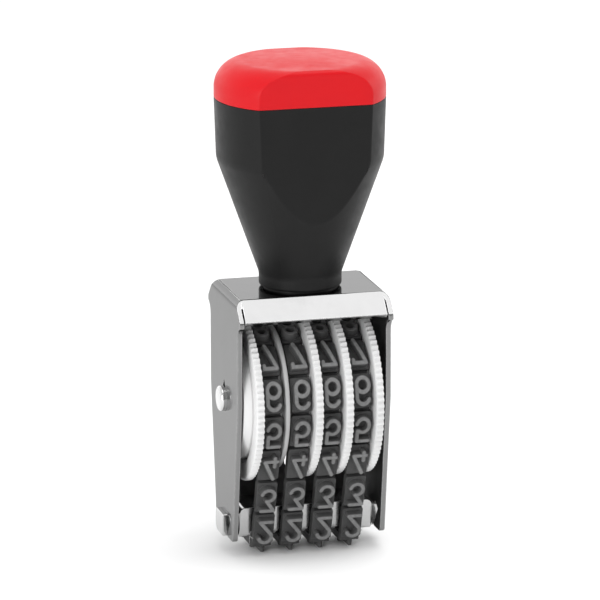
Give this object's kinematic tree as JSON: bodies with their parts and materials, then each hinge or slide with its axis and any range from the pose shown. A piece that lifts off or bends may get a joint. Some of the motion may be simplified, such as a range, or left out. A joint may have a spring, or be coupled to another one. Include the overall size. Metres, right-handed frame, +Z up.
{
  "type": "band numbering stamp",
  "caption": "Hand numbering stamp: waisted handle on a folded metal frame, with thumb wheels on a cross axle that carry endless digit bands round a bottom platen.",
  "frame": {"origin": "centre of the base rectangle: x = 0 midway between the side plates, y = 0 under the axle, z = 0 at the printing faces of the bottom digits", "axes": "+Z up through the handle, +X along the axle to the right as seen from the front, digits read from -Y"},
  "size_m": [0.0304, 0.0298, 0.0891],
  "materials": {
    "plated_sheet": "bright nickel plate on folded steel sheet, edges polished brighter",
    "plated_bar": "satin nickel plate",
    "bright_steel": "bright turned steel with rounded ends",
    "spring_steel": "oiled spring steel",
    "white_plastic": "smooth moulded plastic, lightly glossy",
    "grey_rubber": "matte grey rubber, digit faces slightly lighter",
    "black_plastic": "fine-grained satin plastic",
    "red_plastic": "smooth satin-gloss plastic",
    "zinc_steel": "zinc-plated steel"
  },
  "bodies": {
    "stamp": {"frame": "plated_sheet", "platen": "plated_bar", "axle": "bright_steel", "axle_clip_left": "spring_steel", "axle_clip_right": "spring_steel", "thrust_washer": "white_plastic", "band_1": "grey_rubber", "band_2": "grey_rubber", "band_3": "grey_rubber", "band_4": "grey_rubber", "handle_grip": "black_plastic", "handle_cap": "red_plastic", "handle_screw": "zinc_steel", "lock_washer": "zinc_steel", "handle_nut": "zinc_steel"},
    "thumb_wheel_1": {"wheel_1": "white_plastic", "wheel_cheek": "white_plastic"},
    "thumb_wheel_2": {"wheel_2": "white_plastic"},
    "thumb_wheel_3": {"wheel_3": "white_plastic"},
    "thumb_wheel_4": {"wheel_4": "white_plastic"}
  },
  "joints": [
    {"name": "wheel_1_turn", "type": "hinge", "parent": "stamp", "child": "thumb_wheel_1", "pos_m": [0, 0, 0.0281], "axis": [1, 0, 0], "continuous": true},
    {"name": "wheel_2_turn", "type": "hinge", "parent": "stamp", "child": "thumb_wheel_2", "pos_m": [0, 0, 0.0281], "axis": [1, 0, 0], "continuous": true},
    {"name": "wheel_3_turn", "type": "hinge", "parent": "stamp", "child": "thumb_wheel_3", "pos_m": [0, 0, 0.0281], "axis": [1, 0, 0], "continuous": true},
    {"name": "wheel_4_turn", "type": "hinge", "parent": "stamp", "child": "thumb_wheel_4", "pos_m": [0, 0, 0.0281], "axis": [1, 0, 0], "continuous": true}
  ]
}
